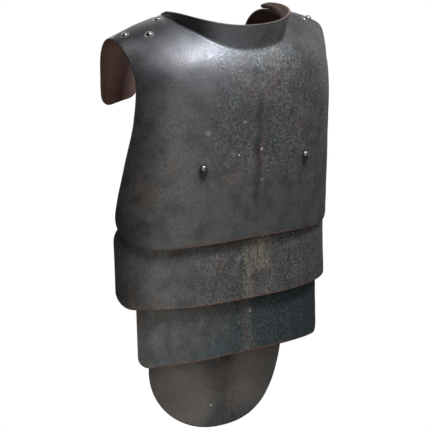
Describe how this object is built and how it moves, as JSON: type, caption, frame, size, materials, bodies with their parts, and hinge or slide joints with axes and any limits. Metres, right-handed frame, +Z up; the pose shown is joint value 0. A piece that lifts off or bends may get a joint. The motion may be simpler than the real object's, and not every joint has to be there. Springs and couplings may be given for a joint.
{
  "type": "trench body armour",
  "caption": "Steel breastplate with a turned-up collar, over-the-shoulder hooks and hanging belly plates carried on inner straps.",
  "frame": {"origin": "where the armour sits on the shoulders: under the two hooks at their highest line, midway between them", "axes": "+Z up; the wearer faces -Y; +X is the wearer's left"},
  "size_m": [0.4232, 0.1965, 0.7096],
  "materials": {
    "plate_paint": "aged dark blue-grey paint, pitted, with brown rust bloom and worn bright edges",
    "hook_paint": "aged dark grey paint outside, red-brown rust inside",
    "rivet_steel": "dark hammered steel, rubbed bright on top",
    "strap_leather": "dry dark brown leather with stitched edges"
  },
  "bodies": {
    "root": {"breastplate": "plate_paint", "upper_lame": "plate_paint", "middle_lame": "plate_paint", "lower_lame": "plate_paint", "right_shoulder_hook": "hook_paint", "right_hanging_strap": "strap_leather", "right_shoulder_rivet_1": "rivet_steel", "right_shoulder_rivet_2": "rivet_steel", "right_shoulder_rivet_3": "rivet_steel", "right_belly_rivet": "rivet_steel", "right_upper_lame_rivet": "rivet_steel", "right_middle_lame_rivet": "rivet_steel", "right_lower_lame_rivet": "rivet_steel", "left_shoulder_hook": "hook_paint", "left_hanging_strap": "strap_leather", "left_shoulder_rivet_1": "rivet_steel", "left_shoulder_rivet_2": "rivet_steel", "left_shoulder_rivet_3": "rivet_steel", "left_belly_rivet": "rivet_steel", "left_upper_lame_rivet": "rivet_steel", "left_middle_lame_rivet": "rivet_steel", "left_lower_lame_rivet": "rivet_steel"}
  },
  "joints": []
}
